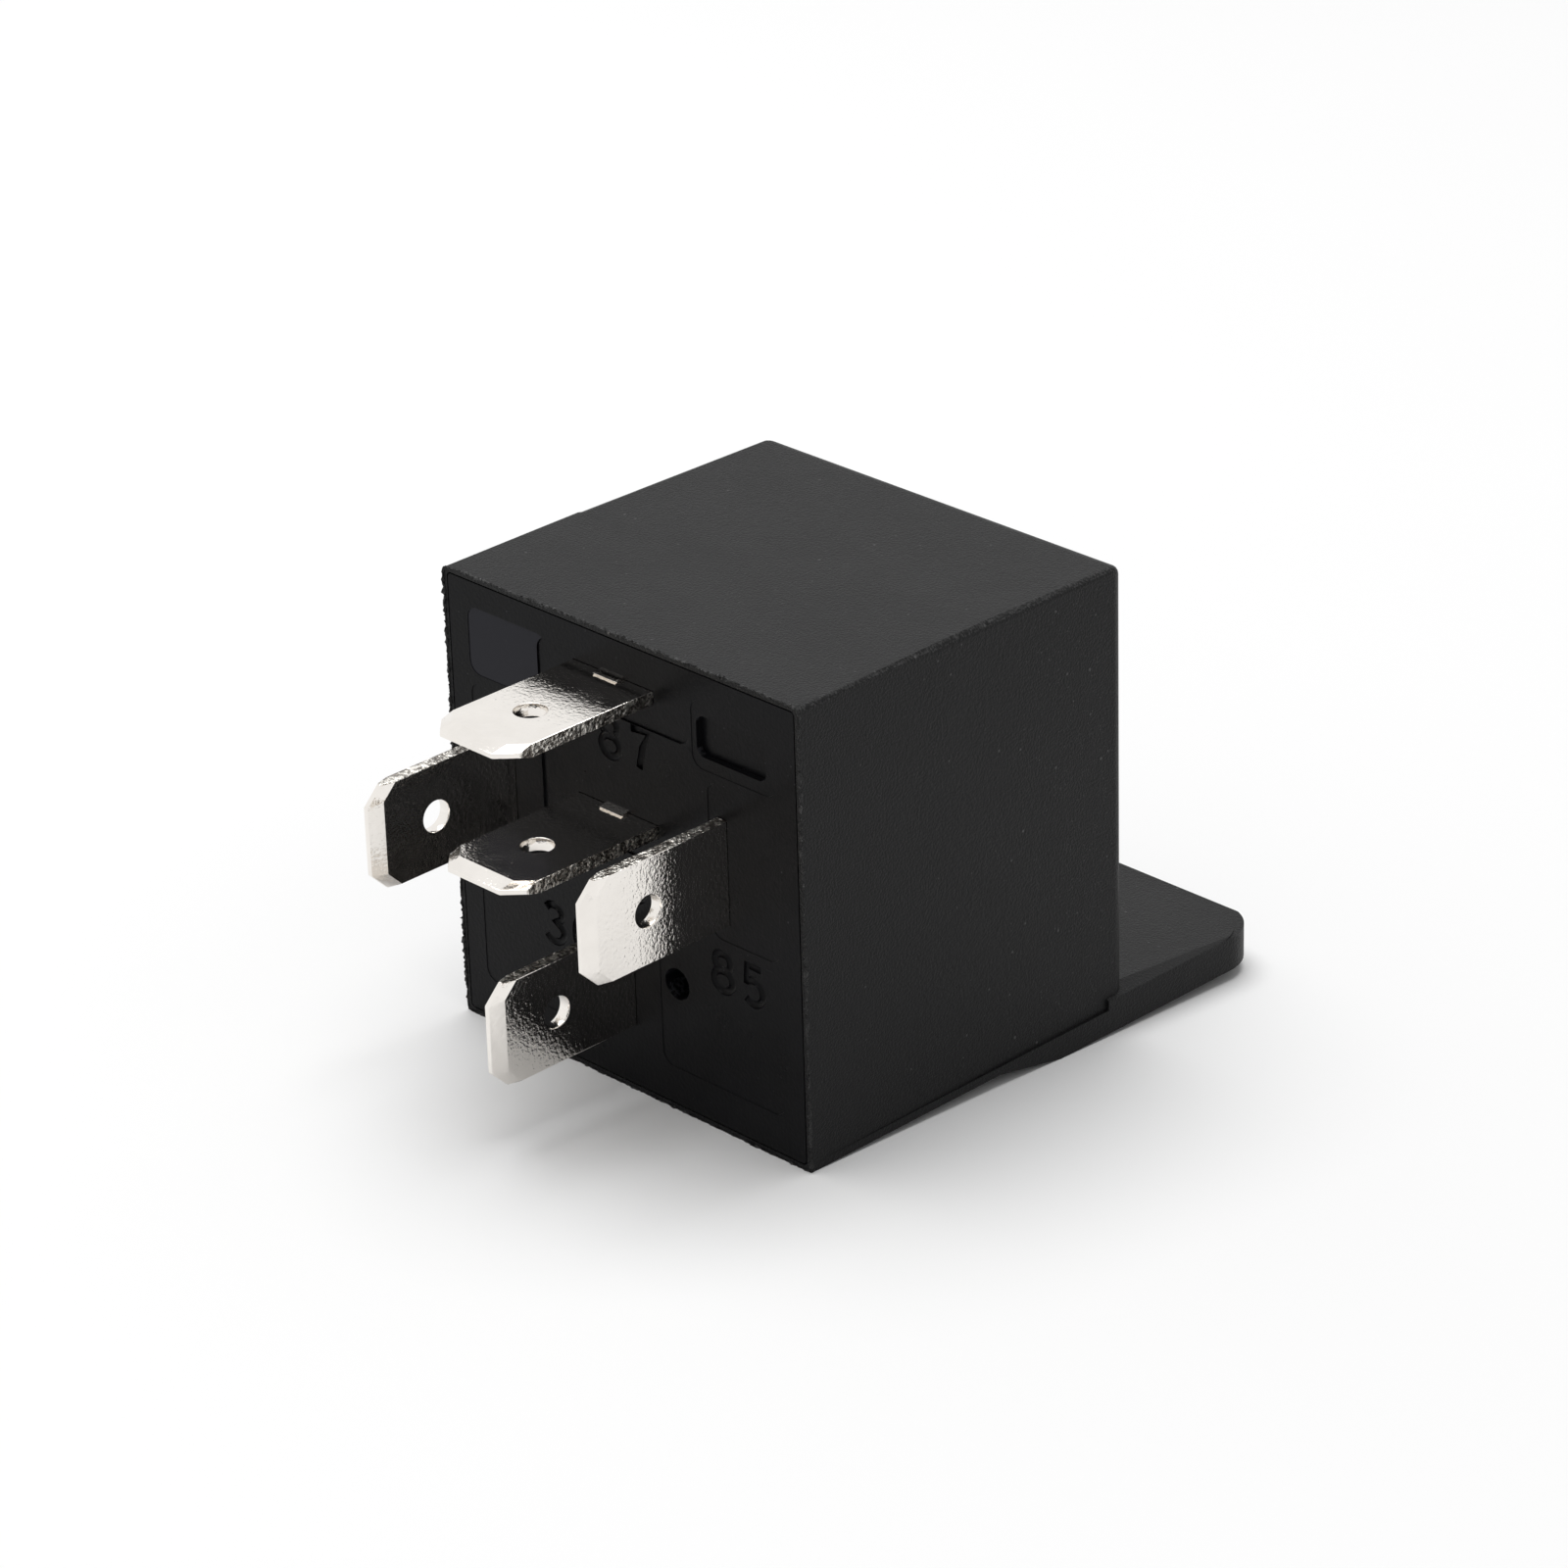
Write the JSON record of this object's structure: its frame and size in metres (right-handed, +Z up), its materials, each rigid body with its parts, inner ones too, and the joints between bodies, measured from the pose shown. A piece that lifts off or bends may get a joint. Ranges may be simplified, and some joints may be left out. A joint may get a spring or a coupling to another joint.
{
  "type": "automotive relay",
  "caption": "Cube-shaped plug-in change-over relay for vehicles, with flat blade terminals and a moulded bracket with a bolt hole.",
  "frame": {"origin": "middle of the base's outer face across the width, on the plane of the housing's underside", "axes": "+X across the base, +Y from the base into the housing and on through the bracket, +Z up with the relay lying on its bracket side; the blades point to -Y"},
  "size_m": [0.028, 0.0481, 0.029],
  "materials": {
    "cover_plastic": "fine-grained matt black moulding",
    "base_plastic": "smooth black moulding",
    "plated_brass": "bright tin-plated brass strip",
    "magnet_steel": "zinc-plated soft iron",
    "bobbin_plastic": "natural nylon",
    "copper_wire": "enamelled copper wire",
    "spring_bronze": "rolled spring bronze",
    "contact_silver": "silver alloy contact faces"
  },
  "bodies": {
    "housing": {"cover": "cover_plastic", "base": "base_plastic", "terminal_30": "plated_brass", "terminal_85": "plated_brass", "terminal_86": "plated_brass", "terminal_87": "plated_brass", "terminal_87a": "plated_brass", "yoke": "magnet_steel", "core": "magnet_steel", "bobbin": "bobbin_plastic", "coil_winding": "copper_wire", "coil_lead_85": "copper_wire", "coil_lead_86": "copper_wire", "contact_no": "contact_silver", "contact_nc": "contact_silver", "yoke_rivet_1": "magnet_steel", "yoke_rivet_2": "magnet_steel"},
    "armature": {"armature": "magnet_steel", "contact_spring": "spring_bronze", "moving_contact": "contact_silver", "armature_rivet_1": "magnet_steel", "armature_rivet_2": "magnet_steel"}
  },
  "joints": [
    {"name": "armature_hinge", "type": "hinge", "parent": "housing", "child": "armature", "pos_m": [0, 0.0183, 0.0046], "axis": [1, 0, 0], "range_deg": [0, 2.7], "stiffness_Nm_per_rad": 0.02, "springref_deg": -5.73, "deforming": ["contact_spring"]}
  ]
}
